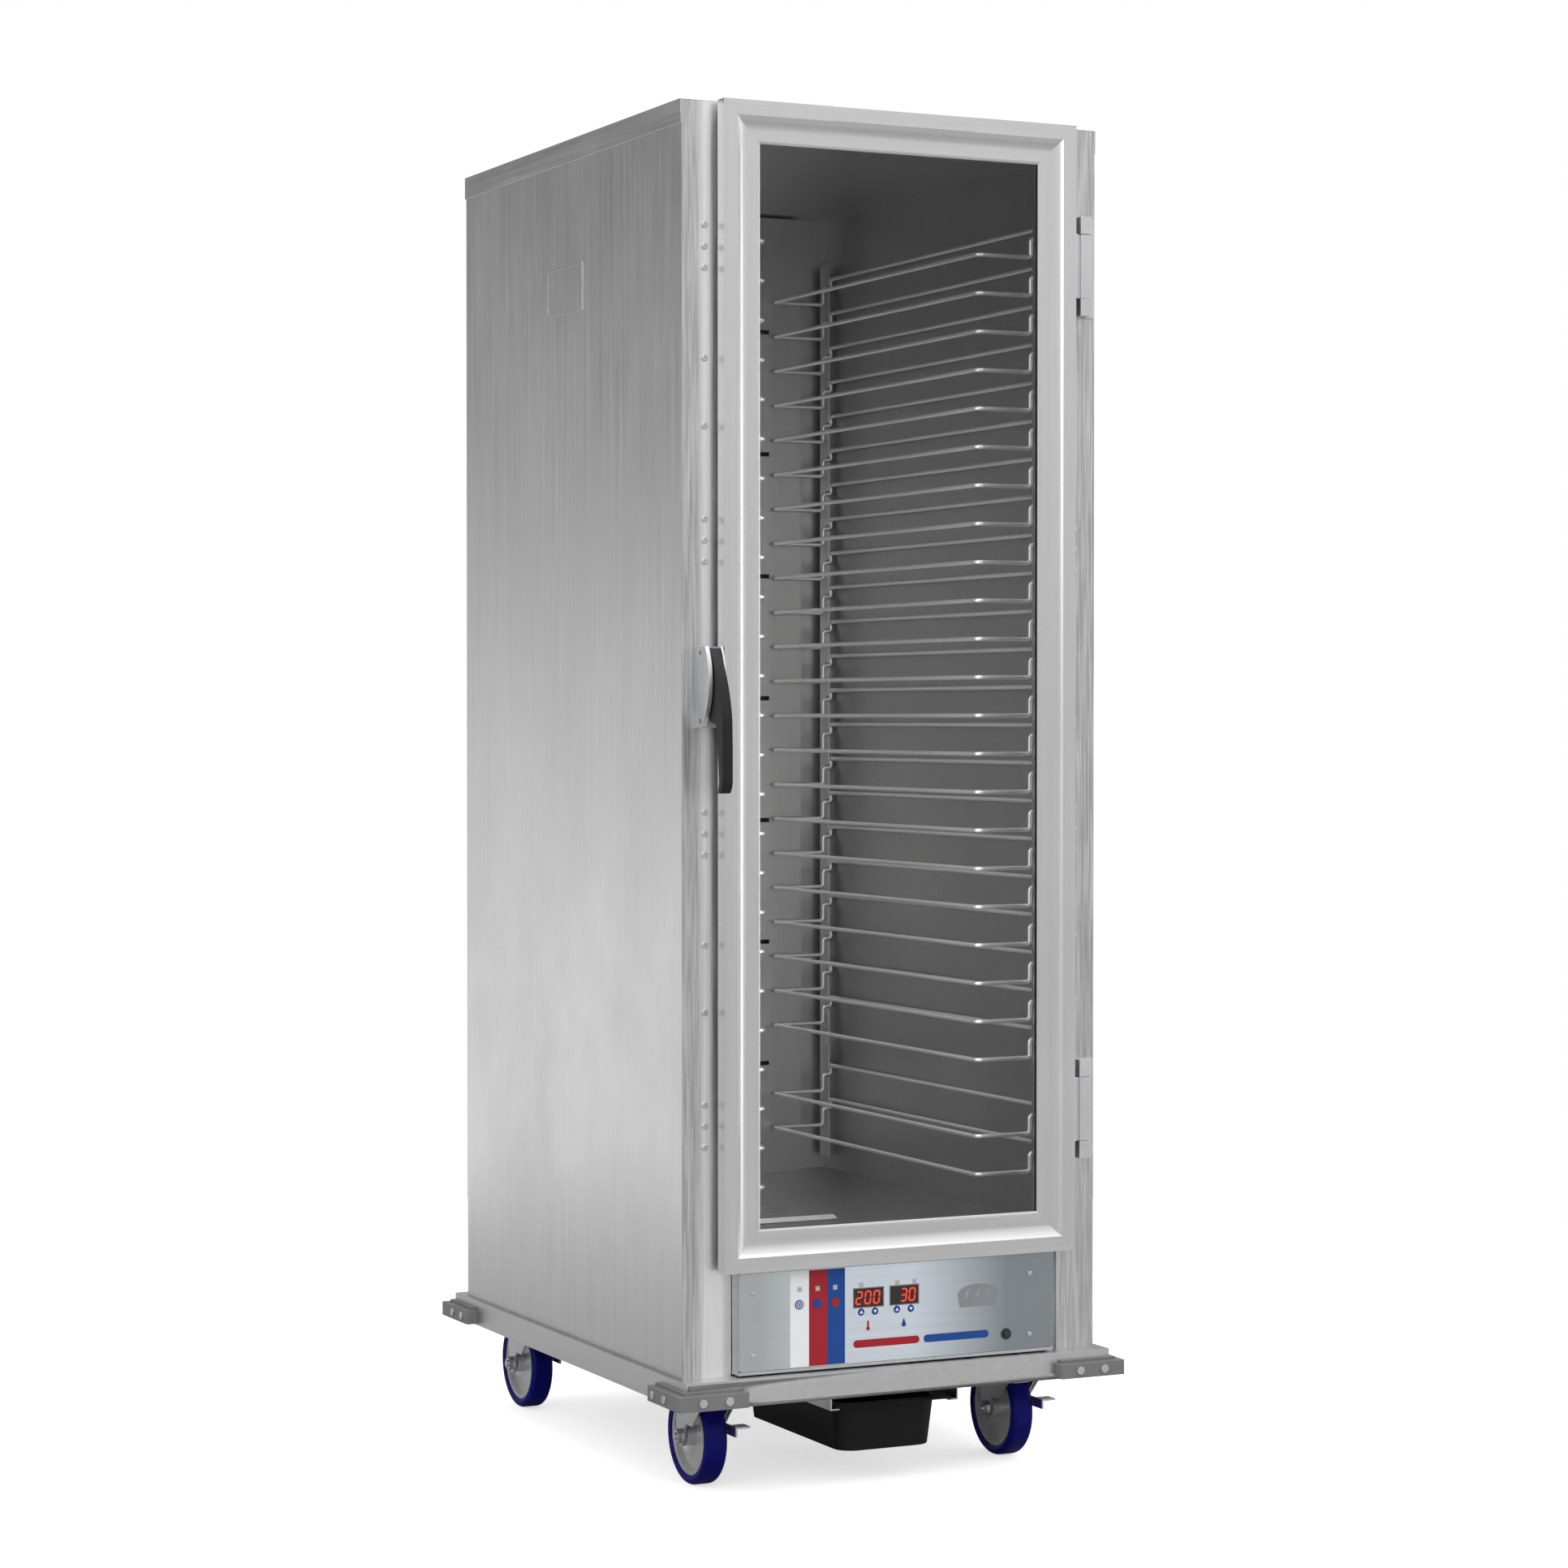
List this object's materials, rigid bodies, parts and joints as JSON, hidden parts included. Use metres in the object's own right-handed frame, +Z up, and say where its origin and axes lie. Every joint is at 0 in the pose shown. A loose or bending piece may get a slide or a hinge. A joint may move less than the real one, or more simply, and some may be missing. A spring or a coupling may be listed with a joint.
{
  "type": "proofing cabinet",
  "caption": "Tall wheeled proofing cabinet with a clear hinged door, wire pan slides, a latch lever, a control module below the door and a drip pan.",
  "frame": {"origin": "on the floor, under the middle of the cabinet's whole footprint", "axes": "+X to the right of a person facing the door, +Y to the back, +Z up"},
  "size_m": [0.6496, 0.8778, 1.771],
  "materials": {
    "brushed_aluminium": "brushed, fine vertical grain",
    "satin_aluminium": "satin extrusion",
    "stainless": "brushed",
    "liner": "mill finish",
    "bright_wire": "bright",
    "zinc": "zinc plated",
    "cast": "cast, satin",
    "black_lever": "fine texture",
    "bumper": "grey moulded rubber",
    "navy_tread": "smooth tread",
    "black_pan": "satin",
    "gasket": "soft",
    "window": "clear",
    "insulation": "glass fibre",
    "panel": "brushed",
    "name_plate": "bright",
    "dark_window": "smoked red",
    "board": "solder resist",
    "white_key": "glossy",
    "black_part": "satin",
    "heater": "heat tinted",
    "blower": "galvanised"
  },
  "bodies": {
    "cabinet": {"air_duct_panel": "liner", "air_heater": "heater", "base_bolts": "zinc", "base_frame": "stainless", "blower_housing": "blower", "blower_motor": "blower", "cabinet_floor": "liner", "cabinet_hinge_halves": "cast", "caster_plates": "zinc", "circuit_breaker": "black_part", "control_board": "board", "control_housing": "stainless", "control_panel": "panel", "corner_bumpers": "bumper", "display_windows": "dark_window", "front_posts": "brushed_aluminium", "front_rails": "brushed_aluminium", "humidity_pan": "stainless", "inner_liner": "liner", "insulation": "insulation", "latch_housing": "cast", "left_side_panel": "brushed_aluminium", "left_wire_slides": "bright_wire", "pan_head_screws": "zinc", "pan_rails": "stainless", "power_inlet": "black_part", "rack_uprights": "stainless", "rear_panel": "brushed_aluminium", "right_side_panel": "brushed_aluminium", "right_wire_slides": "bright_wire", "top_cap": "brushed_aluminium"},
    "door": {"door_frame": "satin_aluminium", "door_window": "window", "door_gasket": "gasket", "name_plate": "name_plate", "door_hinge_halves": "cast", "door_strike": "zinc"},
    "drip_pan": {"drip_pan": "black_pan"},
    "blower_wheel": {"blower_wheel": "blower"},
    "latch_lever": {"latch_lever": "black_lever"},
    "breaker_button": {"breaker_button": "black_part"},
    "power_key": {"power_key": "white_key"},
    "heat_key": {"heat_key": "white_key"},
    "proof_key": {"proof_key": "white_key"},
    "temperature_up_key": {"temperature_up_key": "white_key"},
    "temperature_down_key": {"temperature_down_key": "white_key"},
    "humidity_up_key": {"humidity_up_key": "white_key"},
    "humidity_down_key": {"humidity_down_key": "white_key"},
    "front_left_fork": {"front_left_fork": "zinc"},
    "front_left_wheel": {"front_left_wheel": "navy_tread"},
    "front_left_brake": {"front_left_brake": "zinc"},
    "front_right_fork": {"front_right_fork": "zinc"},
    "front_right_wheel": {"front_right_wheel": "navy_tread"},
    "front_right_brake": {"front_right_brake": "zinc"},
    "rear_left_fork": {"rear_left_fork": "zinc"},
    "rear_left_wheel": {"rear_left_wheel": "navy_tread"},
    "rear_left_brake": {"rear_left_brake": "zinc"},
    "rear_right_fork": {"rear_right_fork": "zinc"},
    "rear_right_wheel": {"rear_right_wheel": "navy_tread"},
    "rear_right_brake": {"rear_right_brake": "zinc"}
  },
  "joints": [
    {"name": "door_hinge", "type": "hinge", "parent": "cabinet", "child": "door", "pos_m": [0.272, -0.3869, 1.033], "axis": [0, 0, 1], "range_deg": [0, 170]},
    {"name": "latch_lever_pivot", "type": "hinge", "parent": "cabinet", "child": "latch_lever", "pos_m": [-0.2674, -0.3909, 1.066], "axis": [-1, 0, 0], "range_deg": [0, 35]},
    {"name": "drip_pan_slide", "type": "slide", "parent": "cabinet", "child": "drip_pan", "axis": [0, -1, 0], "range_m": [0, 0.28]},
    {"name": "blower_spin", "type": "hinge", "parent": "cabinet", "child": "blower_wheel", "pos_m": [0.082, -0.2189, 0.226], "axis": [1, 0, 0], "continuous": true},
    {"name": "breaker_press", "type": "slide", "parent": "cabinet", "child": "breaker_button", "axis": [0, 1, 0], "range_m": [0, 0.002], "stiffness_N_per_m": 400, "springref_m": -0.001},
    {"name": "power_key_press", "type": "slide", "parent": "cabinet", "child": "power_key", "axis": [0, 1, 0], "range_m": [0, 0.0005], "stiffness_N_per_m": 800, "springref_m": -0.0005},
    {"name": "heat_key_press", "type": "slide", "parent": "cabinet", "child": "heat_key", "axis": [0, 1, 0], "range_m": [0, 0.0005], "stiffness_N_per_m": 800, "springref_m": -0.0005},
    {"name": "proof_key_press", "type": "slide", "parent": "cabinet", "child": "proof_key", "axis": [0, 1, 0], "range_m": [0, 0.0005], "stiffness_N_per_m": 800, "springref_m": -0.0005},
    {"name": "temperature_up_key_press", "type": "slide", "parent": "cabinet", "child": "temperature_up_key", "axis": [0, 1, 0], "range_m": [0, 0.0005], "stiffness_N_per_m": 800, "springref_m": -0.0005},
    {"name": "temperature_down_key_press", "type": "slide", "parent": "cabinet", "child": "temperature_down_key", "axis": [0, 1, 0], "range_m": [0, 0.0005], "stiffness_N_per_m": 800, "springref_m": -0.0005},
    {"name": "humidity_up_key_press", "type": "slide", "parent": "cabinet", "child": "humidity_up_key", "axis": [0, 1, 0], "range_m": [0, 0.0005], "stiffness_N_per_m": 800, "springref_m": -0.0005},
    {"name": "humidity_down_key_press", "type": "slide", "parent": "cabinet", "child": "humidity_down_key", "axis": [0, 1, 0], "range_m": [0, 0.0005], "stiffness_N_per_m": 800, "springref_m": -0.0005},
    {"name": "front_left_swivel", "type": "hinge", "parent": "cabinet", "child": "front_left_fork", "pos_m": [-0.2252, -0.2874, 0.132], "axis": [0, 0, 1], "continuous": true},
    {"name": "front_left_roll", "type": "hinge", "parent": "front_left_fork", "child": "front_left_wheel", "pos_m": [-0.2252, -0.2519, 0.0635], "axis": [1, 0, 0], "continuous": true},
    {"name": "front_left_brake_tip", "type": "hinge", "parent": "front_left_fork", "child": "front_left_brake", "pos_m": [-0.2252, -0.3074, 0.112], "axis": [1, 0, 0], "range_deg": [0, 15]},
    {"name": "front_right_swivel", "type": "hinge", "parent": "cabinet", "child": "front_right_fork", "pos_m": [0.2252, -0.2874, 0.132], "axis": [0, 0, 1], "continuous": true},
    {"name": "front_right_roll", "type": "hinge", "parent": "front_right_fork", "child": "front_right_wheel", "pos_m": [0.2252, -0.2519, 0.0635], "axis": [1, 0, 0], "continuous": true},
    {"name": "front_right_brake_tip", "type": "hinge", "parent": "front_right_fork", "child": "front_right_brake", "pos_m": [0.2252, -0.3074, 0.112], "axis": [1, 0, 0], "range_deg": [0, 15]},
    {"name": "rear_left_swivel", "type": "hinge", "parent": "cabinet", "child": "rear_left_fork", "pos_m": [-0.2252, 0.3096, 0.132], "axis": [0, 0, 1], "continuous": true},
    {"name": "rear_left_roll", "type": "hinge", "parent": "rear_left_fork", "child": "rear_left_wheel", "pos_m": [-0.2252, 0.3451, 0.0635], "axis": [1, 0, 0], "continuous": true},
    {"name": "rear_left_brake_tip", "type": "hinge", "parent": "rear_left_fork", "child": "rear_left_brake", "pos_m": [-0.2252, 0.2896, 0.112], "axis": [1, 0, 0], "range_deg": [0, 15]},
    {"name": "rear_right_swivel", "type": "hinge", "parent": "cabinet", "child": "rear_right_fork", "pos_m": [0.2252, 0.3096, 0.132], "axis": [0, 0, 1], "continuous": true},
    {"name": "rear_right_roll", "type": "hinge", "parent": "rear_right_fork", "child": "rear_right_wheel", "pos_m": [0.2252, 0.3451, 0.0635], "axis": [1, 0, 0], "continuous": true},
    {"name": "rear_right_brake_tip", "type": "hinge", "parent": "rear_right_fork", "child": "rear_right_brake", "pos_m": [0.2252, 0.2896, 0.112], "axis": [1, 0, 0], "range_deg": [0, 15]}
  ]
}
